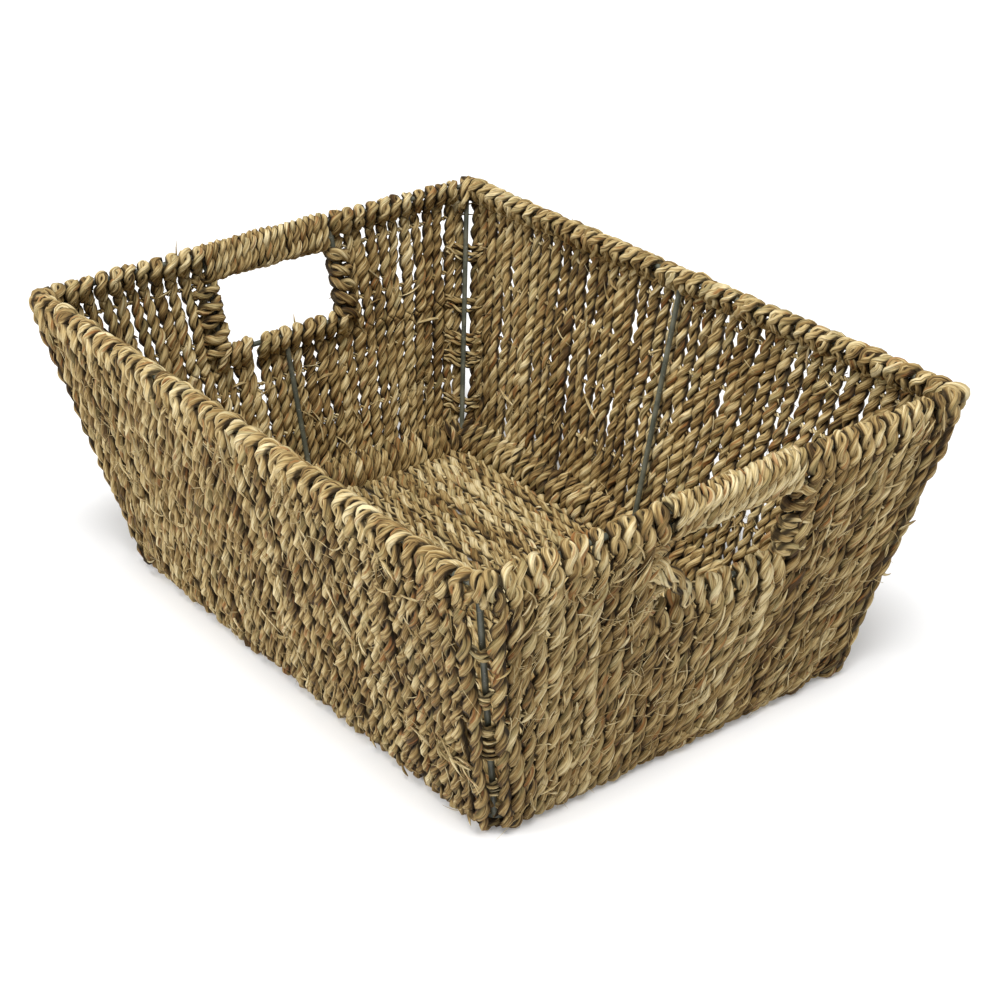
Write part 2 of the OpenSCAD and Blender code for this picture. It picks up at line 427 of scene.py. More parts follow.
@dataclass(frozen=True)
class PaintFinish:
    """Satin grey-green paint on wire, dusty and rubbed through in small specks."""

    name: str
    paint: tuple = (0.062, 0.068, 0.050)
    dust: tuple = (0.130, 0.130, 0.092)
    metal: tuple = (0.300, 0.270, 0.220)
    cloud_scale: tuple = (90, 90, 90)
    speck_scale: tuple = (900, 900, 900)
    specular: float = 0.5
    bump_height: float = 0.15 * MM

    def build(self) -> bpy.types.Material:
        """The finish as a material."""
        material = bpy.data.materials.new(self.name)
        n = Nodes(material)
        place = n.add("TexCoord").outputs["Object"]
        cloud = n.noise(place, self.cloud_scale, 3.0, 0.6)
        speck = n.noise(place, self.speck_scale)
        color = n.mix(n.span(cloud, 0.4, 0.7), self.paint, self.dust)
        color = n.mix(n.span(speck, 0.66, 0.72), color, self.metal)
        n.link(color, n.shader.inputs["Base Color"])
        n.link(n.span(cloud, 0.3, 0.7, 0.38, 0.6), n.shader.inputs["Roughness"])
        n.shader.inputs["Specular IOR Level"].default_value = self.specular
        n.bump(speck, self.bump_height, 0.5)
        return material


# ---------------------------------------------------------------- strands


class Section(Enum):
    """The cross-section of a strand: its sides, how far each lobe stands out, height to width."""

    PLY = (10, 0.085, 1.0)
    THIN_PLY = (8, 0.08, 1.0)
    TWINE = (6, 0.0, 1.0)
    HAIR = (4, 0.0, 1.0)
    LEAF = (6, 0.0, 0.4)


@dataclass
class Strand:
    """One ply, fibre or leaf: its line, its thickness and what its finish needs to know."""

    line: np.ndarray
    radius: np.ndarray
    core: np.ndarray
    reach: np.ndarray
    out: np.ndarray
    tone: np.ndarray
    tilt: np.ndarray
    along: np.ndarray

    def cut(self, first: int, last: int) -> "Strand":
        """The part of the strand between two of its points, both kept."""
        return Strand(*(getattr(self, f.name)[first : last + 1] for f in fields(self)))


def lay_strand(
    rng: np.random.Generator,
    line: np.ndarray,
    radius: np.ndarray,
    core: np.ndarray,
    reach: np.ndarray,
    out: np.ndarray,
    tone: float,
) -> Strand:
    """One strand.

    Args:
        rng: source of random numbers.
        line: the strand's centre line.
        radius: its radius at each point.
        core: the axis of the cord that it belongs to, at each point.
        reach: the cord's outer radius at each point.
        out: the way out of the wall at each point.
        tone: how pale it is, from 0 to 1.

    Returns:
        The strand.
    """
    s = lengths(line)
    tones = tone + wander(rng, s, 22 * MM, 0.13)
    own_twist = 90.0
    tilt = wander(rng, s, 40 * MM, 0.8) + rng.uniform(0, TURN) + s * own_twist
    # The start of the lay, up to 8 metres along it, gives each strand its own fibres
    return Strand(line, radius, core, reach, out, tones, tilt, s + rng.uniform(0, 8))


def lay_cord(
    rng: np.random.Generator,
    axis: np.ndarray,
    out: np.ndarray,
    phase: np.ndarray,
    across: np.ndarray,
    deep: np.ndarray,
    radius: np.ndarray,
    tone: float,
    face: np.ndarray | None = None,
) -> list:
    """A cord of two twisted plies.

    Args:
        rng: source of random numbers.
        axis: the cord's centre line.
        out: the way out of the surface that the cord lies on, at each point.
        phase: turn of the first ply about the axis, at each point.
        across: how far the plies' middles stand from the axis, along the surface.
        deep: how far they stand from it, out of the surface.
        radius: the plies' radius at each point.
        tone: how pale the cord is, from 0 to 1.
        face: the way that the cord is seen from, where that is not out.

    Returns:
        The two strands.
    """
    along = unit(np.gradient(axis, axis=0))
    normal = unit(out - along * (out * along).sum(1, keepdims=True))
    side = np.cross(normal, along)
    seen = normal if face is None else face
    s = lengths(axis)
    strands = []
    for k in range(2):
        turn = phase + math.pi * k + wander(rng, s, 12 * MM, 0.12)
        thick = radius * (1 + wander(rng, s, 9 * MM, 0.10)) * rng.normal(1.0, 0.06)
        line = axis + side * (np.cos(turn) * across)[:, None] + normal * (np.sin(turn) * deep)[:, None]
        line = line + normal * wander(rng, s, 11 * MM, 0.2 * MM)[:, None]
        line = line + side * wander(rng, s, 11 * MM, 0.2 * MM)[:, None]
        reach = np.hypot(np.cos(turn) * across, np.sin(turn) * deep) + thick
        strands.append(lay_strand(rng, line, thick, axis, reach, seen, tone + rng.normal(0, 0.17)))
    return strands


@dataclass
class StrandPiece:
    """Many strands that are made one piece of the basket."""

    name: str
    seed: int
    section: Section = Section.PLY
    strands: list = field(default_factory=list)

    def __post_init__(self) -> None:
        """Starts the piece's own random numbers."""
        self.rng = np.random.default_rng(self.seed)

    def sweep(self) -> bpy.types.Mesh:
        """The strands as one mesh, with the attributes that the finish reads.

        Returns:
            The mesh.
        """
        sides, lobe, flat = self.section.value
        profile = bpy.data.curves.new(self.name + "_section", "CURVE")
        ring = profile.splines.new("POLY")
        ring.points.add(sides - 1)
        for i, point in enumerate(ring.points):
            a = -TURN * i / sides
            r = 1 + (lobe if i % 2 else -lobe)
            point.co = (r * math.cos(a), r * math.sin(a) * flat, 0, 1)
        ring.use_cyclic_u = True
        section = bpy.data.objects.new(profile.name, profile)
        bpy.context.scene.collection.objects.link(section)

        curve = bpy.data.curves.new(self.name + "_lines", "CURVE")
        curve.dimensions = "3D"
        curve.bevel_mode = "OBJECT"
        curve.bevel_object = section
        for strand in self.strands:
            spline = curve.splines.new("POLY")
            count = len(strand.line)
            spline.points.add(count - 1)
            spline.points.foreach_set("co", np.column_stack([strand.line, np.ones(count)]).ravel())
            spline.points.foreach_set("radius", strand.radius)
            spline.points.foreach_set("tilt", strand.tilt)
            spline.use_smooth = True
        holder = bpy.data.objects.new(curve.name, curve)
        bpy.context.scene.collection.objects.link(holder)
        bpy.context.view_layer.update()
        mesh = bpy.data.meshes.new_from_object(holder.evaluated_get(bpy.context.evaluated_depsgraph_get()))
        for thing, data in ((holder, curve), (section, profile)):
            bpy.data.objects.remove(thing)
            bpy.data.curves.remove(data)
        self.mark(mesh, sides)
        self.close_ends(mesh)
        return mesh

    def mark(self, mesh: bpy.types.Mesh, sides: int) -> None:
        """Writes the attributes lay, tone, depth, crest and strip, and keeps the piece above the floor.

        Args:
            mesh: rings of points, strand after strand.
            sides: points in each ring.
        """
        co = np.empty(len(mesh.vertices) * 3, np.float32)
        mesh.vertices.foreach_get("co", co)
        co = co.reshape(-1, sides, 3).astype(float)
        core, out, reach, tone, radius, along = (
            np.concatenate([getattr(strand, name) for strand in self.strands])
            for name in ("core", "out", "reach", "tone", "radius", "along")
        )
        angle = -TURN * np.arange(sides) / sides
        lay = np.empty(co.shape)
        lay[..., 0] = along[:, None]
        lay[..., 1] = radius[:, None] * np.cos(angle)
        lay[..., 2] = radius[:, None] * np.sin(angle)
        # depth, crest and strip serve only the painted shade and painted highlight: the seam between the
        # plies, the crest and flanks of a ply, and its lobes
        away = (co - core[:, None]) / reach[:, None, None]
        depth = np.linalg.norm(away, axis=-1)
        crest = np.abs((away * out[:, None]).sum(-1)).clip(0, 1)
        strip = np.broadcast_to((np.arange(sides) % 2).astype(float), depth.shape)
        tones = np.repeat(tone[:, None], sides, 1)
        values = {"tone": tones, "depth": depth, "crest": crest, "strip": strip}
        attribute = mesh.attributes.new("lay", "FLOAT_VECTOR", "POINT")
        attribute.data.foreach_set("vector", lay.astype(np.float32).ravel())
        for name, value in values.items():
            attribute = mesh.attributes.new(name, "FLOAT", "POINT")
            attribute.data.foreach_set("value", value.astype(np.float32).ravel())
        co[..., 2] = np.maximum(co[..., 2], CLEARANCE)
        mesh.vertices.foreach_set("co", co.astype(np.float32).ravel())

    @staticmethod
    def close_ends(mesh: bpy.types.Mesh) -> None:
        """Closes the two open ends of each strand."""
        bm = bmesh.new()
        bm.from_mesh(mesh)
        bmesh.ops.holes_fill(bm, edges=[e for e in bm.edges if e.is_boundary], sides=0)
        bm.to_mesh(mesh)
        bm.free()

    def finish(self, finishes: dict, kind: Kind, *nodes: str) -> bpy.types.Object:
        """The piece in place in the basket.

        Args:
            finishes: the material of each kind of seagrass.
            kind: the piece's own kind.
            nodes: the CAD nodes that it stands for.

        Returns:
            The piece.
        """
        mesh = self.sweep()
        mesh.name = self.name
        mesh.materials.clear()
        mesh.materials.append(finishes[kind])
        piece = bpy.data.objects.new(self.name, mesh)
        bpy.context.scene.collection.objects.link(piece)
        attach(piece, "root")
        if nodes:
            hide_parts(*nodes)
        LOG.info("%s: %d strands, %d faces", self.name, len(self.strands), len(mesh.polygons))
        return piece


# ---------------------------------------------------------------- the cage


@dataclass(frozen=True)
class Wall:
    """One wall's own frame: along it, down its slope from the rim wire, and out of it."""

    name: str
    turn: float
    rim_out: float
    base_out: float
    rim_half: float
    base_half: float
    z_rim: float
    rise: float

    @property
    def slope(self) -> float:
        """Distance down the wall from the rim wire to the base wire."""
        return math.hypot(self.rim_out - self.base_out, self.rise)

    @property
    def axes(self) -> tuple:
        """Along, up the slope and out, as unit vectors."""
        tilt = math.atan2(self.rim_out - self.base_out, self.rise)
        c, s = math.cos(math.radians(self.turn)), math.sin(math.radians(self.turn))
        turn = np.array([[c, -s, 0], [s, c, 0], [0, 0, 1]])
        up = turn @ np.array([0, -math.sin(tilt), math.cos(tilt)])
        out = turn @ np.array([0, -math.cos(tilt), -math.sin(tilt)])
        return turn @ np.array([1.0, 0, 0]), up, out

    @property
    def origin(self) -> np.ndarray:
        """Middle of the rim wire on this wall."""
        c, s = math.cos(math.radians(self.turn)), math.sin(math.radians(self.turn))
        return np.array([s * self.rim_out, -c * self.rim_out, self.z_rim])

    def place(self, u: np.ndarray, down: np.ndarray, out: np.ndarray) -> np.ndarray:
        """Points given along, down and out, in the basket's frame."""
        a, up, o = self.axes
        u, down, out = np.broadcast_arrays(u, down, out)
        return self.origin + u[:, None] * a - down[:, None] * up + out[:, None] * o

    def half_at(self, down: np.ndarray) -> np.ndarray:
        """Half the wall's length at a distance down it."""
        return self.rim_half + (self.base_half - self.rim_half) * down / self.slope


class Cage:
    """The wire cage, measured from the CAD nodes."""

    def __init__(self) -> None:
        """Reads the sizes of the rim, the base and the hand holes."""
        rim_low, rim_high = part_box("rim_wire")
        base_low, base_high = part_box("base_wire")
        self.wire = (rim_high.z - rim_low.z) / 2
        self.z_rim = (rim_high.z + rim_low.z) / 2
        z_base = (base_high.z + base_low.z) / 2
        rim = (rim_high.x - self.wire, rim_high.y - self.wire)
        base = (base_high.x - self.wire, base_high.y - self.wire)
        hole_low, hole_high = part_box("handle_wire_right")
        self.hole_half = hole_high.y - self.wire
        self.base = base
        rise = self.z_rim - z_base
        long, end = (rim[1], base[1], rim[0], base[0]), (rim[0], base[0], rim[1], base[1])
        turns = {"front": (0, long), "right": (90, end), "back": (180, long), "left": (270, end)}
        self.walls = {
            name: Wall(name, turn, *sizes, self.z_rim, rise) for name, (turn, sizes) in turns.items()
        }
        up_slope = abs(self.walls["right"].axes[1][2])
        self.sill = (self.z_rim - hole_low.z - self.wire) / up_slope
        self.grip = (self.z_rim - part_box("grip_wire_right")[0].z - self.wire) / up_slope

    def paint(self) -> None:
        """Gives every wire its paint."""
        material = PaintFinish("cage_paint").build()
        for name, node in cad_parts.items():
            if "wire" in name or "stile" in name:
                node.data.materials.clear()
                node.data.materials.append(material)
        LOG.info("cage: painted")


# ---------------------------------------------------------------- the weave


@dataclass(frozen=True)
class CordSizes:
    """Sizes of the two-ply cord; the pairs are where it goes over a wire, and down the wall."""

    ply: tuple = (2.05 * MM, 2.2 * MM)
    across: tuple = (1.75 * MM, 1.85 * MM)
    deep: tuple = (0.5 * MM, 1.25 * MM)
    step: float = 1.6 * MM
    turn_step: float = 1.2 * MM

    def at(self, pair: tuple, down: np.ndarray) -> np.ndarray:
        """A size at distances down from the wire, a little less near the foot."""
        places = [0, 9 * MM, 60 * MM, 155 * MM]
        return np.interp(down, places, [pair[0], pair[1], pair[1], 0.93 * pair[1]])


@dataclass
class WallWeave:
    """The cords of one wall, each in one length over the rim and under the base, and their twine."""

    cage: Cage
    wall: Wall
    plan: WallPlan
    seed: int
    finishes: dict
    sizes: CordSizes = field(default_factory=CordSizes)
    over: float = 10.0 * MM
    under: float = 8.0 * MM
    slant: float = 5.0 * MM

    def __post_init__(self) -> None:
        """Starts the wall's own random numbers and spaces its cords."""
        self.rng = np.random.default_rng(self.seed)
        self.cords = self.space_ends() if self.is_end else self.space_long()
        if self.plan.bare_end:
            self.cords = [(self.clear_corner(top), middle, foot) for top, middle, foot in self.cords]

    def clear_corner(self, top: float) -> float:
        """Moves the head of a cord off the bare bit of rim wire beside a corner."""
        end = self.plan.bare_end
        off = (self.room(0) - end * top) / (16 * MM)
        return top - end * 4.5 * MM * math.exp(-(off**2))

    @property
    def is_end(self) -> bool:
        """True for a wall with a hand hole."""
        return self.wall.name in ("left", "right")

    def room(self, down: float) -> float:
        """Half the length that the cords take up, at a distance down the wall."""
        return float(self.wall.half_at(np.array([down]))[0]) - self.plan.edge

    def space_long(self) -> list:
        """Where each cord of a long wall lies at the rim, half way down and at the foot."""
        slope, count = self.wall.slope, self.plan.count
        shares = np.linspace(-1, 1, count) + self.rng.normal(0, 0.12, count) / count
        return [tuple(share * self.room(down) for down in (0, slope / 2, slope)) for share in shares]

    def space_ends(self) -> list:
        """Where each cord of an end wall lies at the rim, the sill and the foot."""
        cage, slope, count = self.cage, self.wall.slope, self.plan.count
        inner = cage.hole_half + 4.3 * MM
        beside = (count - SILL_CORDS) // 2
        foot = np.linspace(-self.room(slope), self.room(slope), count)
        below = np.linspace(-1, 1, SILL_CORDS) * (cage.hole_half - 1.2 * MM)
        if self.plan.part_at is not None:
            off = below - self.plan.part_at
            below = below + 1.7 * MM * np.sign(off) * np.exp(-((off / (14 * MM)) ** 2))
        cords = []
        for i, end in enumerate(foot):
            k = min(i, count - 1 - i)
            if k < beside:
                share, sign = 1 - k / (beside - 1), -1 if i < beside else 1
                top, sill = (sign * (inner + share * (self.room(down) - inner)) for down in (0, cage.sill))
            else:
                top = sill = below[i - beside]
            cords.append((top, sill + self.rng.normal(0, 0.4 * MM), end))
        return cords

    def u_at(self, cord: tuple, down: np.ndarray) -> np.ndarray:
        """Where a cord lies along the wall, at distances down it."""
        middle = self.cage.sill if self.is_end else self.wall.slope / 2
        return np.interp(down, [0, middle, self.wall.slope], cord)

    def path(self, wire: float) -> tuple:
        """A cord's way over a wire, down the wall and under the base wire.

        Args:
            wire: distance down the wall of the wire that the cord goes over.

        Returns:
            Points out of and down the wall, and the distance that each counts as being down it.
        """
        size, slope, wire_r = self.sizes, self.wall.slope, self.cage.wire / MM
        # Millimetres out and down, over the top wire and then round the base wire
        r = wire_r + 1.45
        arc = [(r * math.cos(a), -r * math.sin(a)) for a in np.radians([160, 130, 100, 70, 40, 10])]
        top = [(3.6, 9.5), (1.2, 7), (-1.4, 4.8), (-3.0, 2.2), *arc, (3.8, 3.5), (4.6, 8), (4.7, 16)]
        head = np.array(top) * MM + self.rng.normal(0, 0.22 * MM, (len(top), 2))
        head = smooth_path(head, size.turn_step) + np.array([0, wire])
        r = wire_r + 2.6
        arc = [(r * math.cos(a), r * math.sin(a)) for a in np.radians([15, 45, 75, 105, 135, 165])]
        low = [(4.7, -12), (4.6, -6), *arc, (-4.0, -3.5), (-2.4, -7.5), (0.4, -11.5), (2.8, -15)]
        tail = np.array(low) * MM + self.rng.normal(0, 0.2 * MM, (len(low), 2))
        tail = smooth_path(tail, size.turn_step) + np.array([0, slope])
        middle = np.arange(head[-1, 1] + size.step, tail[0, 1] - 0.5 * size.step, size.step)
        wall = np.column_stack([np.full(len(middle), SHEET_MID), middle])
        line = np.vstack([head, wall, tail])
        s = lengths(line)
        return line, s - s[len(head)] + middle[0]

    def facing(self, line: np.ndarray, u: np.ndarray, down: np.ndarray) -> tuple:
        """The way out of the wall along a cord, and the way that the cord is seen from.

        Args:
            line: the cord's way out of and down the wall.
            u: where it is along the wall.
            down: where it is down the wall.

        Returns:
            The two ways; they differ at the corners, where a cord is also seen end on.
        """
        along, up, o = self.wall.axes
        way = np.gradient(line, axis=0)
        out = unit(way[:, 1:2] * o + way[:, 0:1] * up)
        past = np.abs(u) - self.wall.half_at(down) + self.plan.edge + 4 * MM
        past = np.clip(past / (3 * MM), 0, 1)
        return out, unit(out + (past * np.sign(u))[:, None] * along)

    def twist(self, s: np.ndarray, down: np.ndarray, above: np.ndarray, pinch: np.ndarray) -> np.ndarray:
        """Turn of a cord's first ply: side by side with the other at each row, tighter over the wire.

        Args:
            s: distance along the cord.
            down: distance down the wall.
            above: distance above the place where the cord leaves its wire.
            pinch: how tightly the twine holds the cord.

        Returns:
            The turn at each point.
        """
        rng = self.rng
        half_turns = self.plan.half_turns * (down - TWINE_ROWS[0]) / ROW_PITCH
        phase = math.pi * (0.5 + rng.integers(0, 2) + half_turns)
        phase = phase + wander(rng, s, 20 * MM, 0.18) * (1 - 0.8 * pinch)
        return phase - 0.11 / MM * above + rng.normal(0, 0.5) * np.clip(above / (14 * MM), 0, 1)

    def add_cord(self, parts: list, cord: tuple, wire: float = 0.0) -> None:
        """Lays one cord, and shares it out among the pieces that it runs through.

        Args:
            parts: pairs of a piece, and the distance down the wall at which the cord leaves it.
            cord: where the cord lies along the wall, at the rim, part way down and at the foot.
            wire: distance down the wall of the wire that it goes over.
        """
        size, rng = self.sizes, self.rng
        line, down = self.path(wire)
        s = lengths(line)
        pinch = squeeze(down, TWINE_ROWS)
        top = down - wire + 7 * MM
        lean = -0.5 * self.slant * np.sin(math.pi * np.clip(top / (14 * MM), -1, 1))
        u = self.u_at(cord, down) + lean + wander(rng, s, 20 * MM, 0.65 * MM)
        axis = self.wall.place(u, line[:, 1], line[:, 0] + wander(rng, s, 22 * MM, 0.5 * MM))
        out, face = self.facing(line, u, down)
        loose = 1 + wander(rng, s, 26 * MM, 0.09)
        ends = taper(s, 4 * MM, 0.25)
        across = size.at(size.across, down - wire) * (1.06 - 0.28 * pinch) * loose * ends
        deep = size.at(size.deep, down - wire) * (1.05 - 0.1 * pinch) * loose * ends
        radius = size.at(size.ply, down - wire) * (1.05 - 0.09 * pinch) * loose * np.sqrt(ends)
        phase = self.twist(s, down, np.maximum(wire + 12 * MM - down, 0), pinch)
        # Painted highlight: the cords are paler where they go over a wire, along the top edge where the
        # light falls
        pale = np.clip((wire + 12 * MM - down) / (8 * MM), 0, 1)
        tone = 0.5 + rng.normal(0, 0.11) + 0.24 * pale
        strands = lay_cord(rng, axis, out, phase, across, deep, radius, tone, face)
        first = 0
        for piece, leaves in parts:
            last = int(np.searchsorted(down, leaves)) if leaves < down[-1] else len(down) - 1
            piece.strands.extend(strand.cut(first, last) for strand in strands)
            first = last

    def build(self) -> list:
        """The wall's cords and twine.

        Returns:
            The pieces.
        """
        name, sill = self.wall.name, self.cage.sill
        leave = self.wall.slope - self.under
        hem = StrandPiece("hem_cords_" + name, 0)
        rims = {k: StrandPiece(f"rim_loops_{name}_{k}", 0) for k in "ab"}
        made = [(hem, Kind.WALL, "base_hem_" + name)]
        made += [(rim, Kind.RIM, f"rim_wrap_{name}_{k}") for k, rim in rims.items()]
        if self.is_end:
            low, ledge = StrandPiece("low_cords_" + name, 0), StrandPiece("sill_loops_" + name, 0)
            cheeks = {k: StrandPiece(f"cheek_cords_{name}_{k}", 0) for k in "ab"}
            made += [(low, Kind.WALL, "low_weave_" + name), (ledge, Kind.RIM, "sill_wrap_" + name)]
            made += [(cheek, Kind.WALL, f"cheek_weave_{name}_{k}") for k, cheek in cheeks.items()]
        else:
            main = StrandPiece("wall_cords_" + name, 0)
            made.append((main, Kind.WALL, "wall_weave_" + name))
        for cord in self.cords:
            key = "a" if cord[0] < 0 else "b"
            head, foot = (rims[key], self.over), (hem, math.inf)
            if not self.is_end:
                self.add_cord([head, (main, leave), foot], cord)
            elif abs(cord[0]) > self.cage.hole_half:
                self.add_cord([head, (cheeks[key], sill + 9 * MM), (low, leave), foot], cord)
            else:
                self.add_cord([(ledge, sill + self.over), (low, leave), foot], cord, sill)
        pieces = [piece.finish(self.finishes, kind, node) for piece, kind, node in made]
        return [*pieces, self.build_twine()]

    def build_twine(self) -> bpy.types.Object:
        """The rows of twine through the wall."""
        piece = StrandPiece("twine_rows_" + self.wall.name, self.seed + 3, Section.TWINE)
        for row in TWINE_ROWS:
            half = float(self.wall.half_at(np.array([row]))[0]) - 4 * MM
            spans = [(-half, half)]
            if self.is_end and row < self.cage.sill:
                inner = self.cage.hole_half + 1.0 * MM
                spans = [(-half, -inner), (inner, half)]
            for a, b in spans:
                u = np.linspace(a, b, int((b - a) / (0.9 * MM)) + 2)
                down = row + wander(piece.rng, u, 25 * MM, 0.5 * MM)
                axis = self.wall.place(u, down, np.full(len(u), SHEET_MID))
                out = np.tile(self.wall.axes[2], (len(u), 1))
                phase = (u - a) * TURN / TWINE_TURN
                sizes = (np.full(len(u), size * MM) for size in (0.85, 0.6, 0.75))
                piece.strands += lay_cord(piece.rng, axis, out, phase, *sizes, 0.62)
        return piece.finish(self.finishes, Kind.TWINE, "twine_" + self.wall.name)


@dataclass
class HandHole:
    """The grip and the bound sides of one hand hole."""

    weave: WallWeave
    pitch: float = 4.75 * MM
    grip_turn: float = 15.5 * MM
    loops: int = 5
    loop_turn: float = 19 * MM
    tail_turn: float = 24 * MM
    step: float = 1.35 * MM

    def build(self) -> list:
        """The grip and the two side bindings."""
        return [self.build_grip(), self.build_binding("a", -1), self.build_binding("b", 1)]

    def build_grip(self) -> bpy.types.Object:
        """Cord wound round the rim wire and the grip wire together."""
        weave, cage, wall = self.weave, self.weave.cage, self.weave.wall
        piece = StrandPiece("grip_cord_" + wall.name, weave.seed + 40, Section.PLY)
        rng = piece.rng
        r = cage.wire + 2.45 * MM
        over, below = np.radians(np.arange(0, 180, 22.5)), np.radians(np.arange(180, 360, 22.5))
        loop = [(r * math.cos(a), -r * math.sin(a)) for a in over]
        loop += [(r * math.cos(a), cage.grip - r * math.sin(a)) for a in below]
        half = cage.hole_half - 1.2 * MM
        # The left grip has slid a little towards the back
        slid = 2.7 * MM if wall.name == "left" else 0.0
        path = np.vstack([np.array(loop)] * int(2 * half / self.pitch))
        line = smooth_path(np.column_stack([path, np.linspace(-half, half, len(path)) + slid]), self.step)
        s = lengths(line)
        u = line[:, 2] + wander(rng, s, 20 * MM, 0.25 * MM)
        axis = wall.place(u, line[:, 1], line[:, 0] + wander(rng, s, 25 * MM, 0.2 * MM))
        tangent = np.gradient(line, axis=0)
        _, up, o = wall.axes
        out = (-tangent[:, 1:2]) * o - tangent[:, 0:1] * up
        loose = 1 + wander(rng, s, 30 * MM, 0.05)
        sizes = (size * MM * loose for size in (1.35, 0.95, 1.65))
        piece.strands += lay_cord(rng, axis, out, TURN * s / self.grip_turn, *sizes, 0.74)
        return piece.finish(weave.finishes, Kind.RIM, "grip_" + wall.name)

    def build_binding(self, key: str, sign: int) -> bpy.types.Object:
        """Big loops of cord round one side wire of the hole.

        Args:
            key: the letter of the side.
            sign: which way along the wall that side is, -1 or 1.

        Returns:
            The piece.
        """
        weave, cage, wall = self.weave, self.weave.cage, self.weave.wall
        piece = StrandPiece(f"side_loops_{wall.name}_{key}", weave.seed + 60 + sign)
        rng = piece.rng
        r = cage.wire + 1.8 * MM
        reach = 10.5 * MM
        # Away from the hole and out of the wall: in over the weave, round the wire and back behind
        outer = [(reach, 5.0 * MM), (5.5 * MM, 5.0 * MM), (2.2 * MM, 4.6 * MM)]
        arc = [(-r * math.cos(a), r * math.sin(a)) for a in np.radians([70, 35, 0, -35, -70])]
        inner = [(2.0 * MM, -3.6 * MM), (5.5 * MM, -1.6 * MM), (reach, 2.4 * MM)]
        loop = np.array(outer + arc + inner)
        for down in np.linspace(cage.grip + 8 * MM, cage.sill - 4.5 * MM, self.loops):
            flat = loop + rng.normal(0, 0.3 * MM, loop.shape)
            rise = np.linspace(-4.5 * MM, 4.5 * MM, len(loop)) + rng.normal(0, 0.5 * MM)
            line = smooth_path(np.column_stack([flat, down + rise]), self.step)
            s = lengths(line)
            axis = wall.place(sign * (cage.hole_half + line[:, 0]), line[:, 2], line[:, 1])
            tangent = np.gradient(line, axis=0)
            a, _, o = wall.axes
            out = tangent[:, 1:2] * a * sign - tangent[:, 0:1] * o
            ends = taper(s, 4 * MM, 0.25)
            phase = TURN * s / self.loop_turn + rng.uniform(0, 6.3)
            sizes = (1.75 * MM * ends, 0.7 * MM * ends, 2.25 * MM * np.sqrt(ends))
            piece.strands += lay_cord(rng, axis, out, phase, *sizes, 0.6, np.tile(o, (len(s), 1)))
        if (wall.name, key) == ("right", "a"):
            self.add_tails(piece)
        return piece.finish(weave.finishes, Kind.WALL, f"side_binding_{wall.name}_{key}")

    def add_tails(self, piece: StrandPiece) -> None:
        """Adds the two cord ends that cross the lower corner of the hole.

        Args:
            piece: where they go.
        """
        cage, wall, rng = self.weave.cage, self.weave.wall, piece.rng
        # Millimetres from the hole's lower corner, along, down and out
        way = np.array([(-5, -32, 3.6), (0.5, -26, 7.6), (7.5, -18.5, 7.8), (15, -10, 7.6), (20, 0.5, 6)])
        beside = np.array([1.6, -3.4, 0.4])
        for shift in (0.0, 1.0):
            control = way + (shift * beside + rng.normal(0, 0.3, way.shape))
            line = smooth_path(control * MM, self.step)
            s = lengths(line)
            axis = wall.place(line[:, 0] - cage.hole_half, line[:, 1] + cage.sill, line[:, 2])
            ends = taper(s, 4 * MM, 0.25)
            sizes = (1.45 * MM * ends, 0.6 * MM * ends, 1.7 * MM * np.sqrt(ends))
            out = np.tile(wall.axes[2], (len(s), 1))
            piece.strands += lay_cord(rng, axis, out, TURN * s / self.tail_turn, *sizes, 0.85)


@dataclass
class BaseWeave:
    """The bottom: cords along the basket, and the twine that runs through them."""

    cage: Cage
    finishes: dict
    seed: int = 900
    count: int = 33
    half_turns: int = 3
    step: float = 1.75 * MM
    ply: float = 2.15 * MM
    across: float = 1.7 * MM
    deep: float = 0.95 * MM

    @property
    def rows(self) -> np.ndarray:
        """Where the rows of twine lie along the basket."""
        return np.arange(-4, 5) * ROW_PITCH

    def build(self) -> list:
        """The base cords and their cross twine."""
        return [self.build_cords(), self.build_cross()]

    def build_cords(self) -> bpy.types.Object:
        """Cords that run from one end wall to the other."""
        piece = StrandPiece("base_cords", self.seed, Section.THIN_PLY)
        rng = piece.rng
        half_x = self.cage.base[0] - 1 * MM
        half_y = self.cage.base[1] - 5.5 * MM
        x = np.linspace(-half_x, half_x, int(2 * half_x / self.step))
        pinch = squeeze(x, self.rows)
        out = np.tile([0.0, 0, 1.0], (len(x), 1))
        for middle in np.linspace(-half_y, half_y, self.count):
            y = middle + wander(rng, x, 30 * MM, 0.75 * MM)
            axis = np.column_stack([x, y, BASE_MID + wander(rng, x, 30 * MM, 0.25 * MM)])
            loose = 1 + wander(rng, x, 26 * MM, 0.09)
            phase = math.pi * (0.5 + self.half_turns * x / ROW_PITCH + rng.integers(0, 2))
            phase = phase + wander(rng, x, 20 * MM, 0.2)
            across = self.across * (1.1 - 0.24 * pinch) * loose
            radius = self.ply * (1.06 - 0.08 * pinch) * loose
            tone = 0.72 + rng.normal(0, 0.11)
            piece.strands += lay_cord(rng, axis, out, phase, across, self.deep * loose, radius, tone)
        return piece.finish(self.finishes, Kind.BASE, "base_weave")

    def build_cross(self) -> bpy.types.Object:
        """Twine through the base cords."""
        piece = StrandPiece("base_twine", self.seed + 1, Section.TWINE)
        half_y = self.cage.base[1] - 6 * MM
        y = np.linspace(-half_y, half_y, 220)
        out = np.tile([0.0, 0, 1.0], (len(y), 1))
        for row in self.rows:
            x = row + wander(piece.rng, y, 25 * MM, 0.6 * MM)
            axis = np.column_stack([x, y, np.full(len(y), BASE_MID)])
            sizes = (np.full(len(y), size * MM) for size in (0.8, 0.5, 0.75))
            piece.strands += lay_cord(piece.rng, axis, out, y * TURN / TWINE_TURN, *sizes, 0.62)
        return piece.finish(self.finishes, Kind.TWINE)


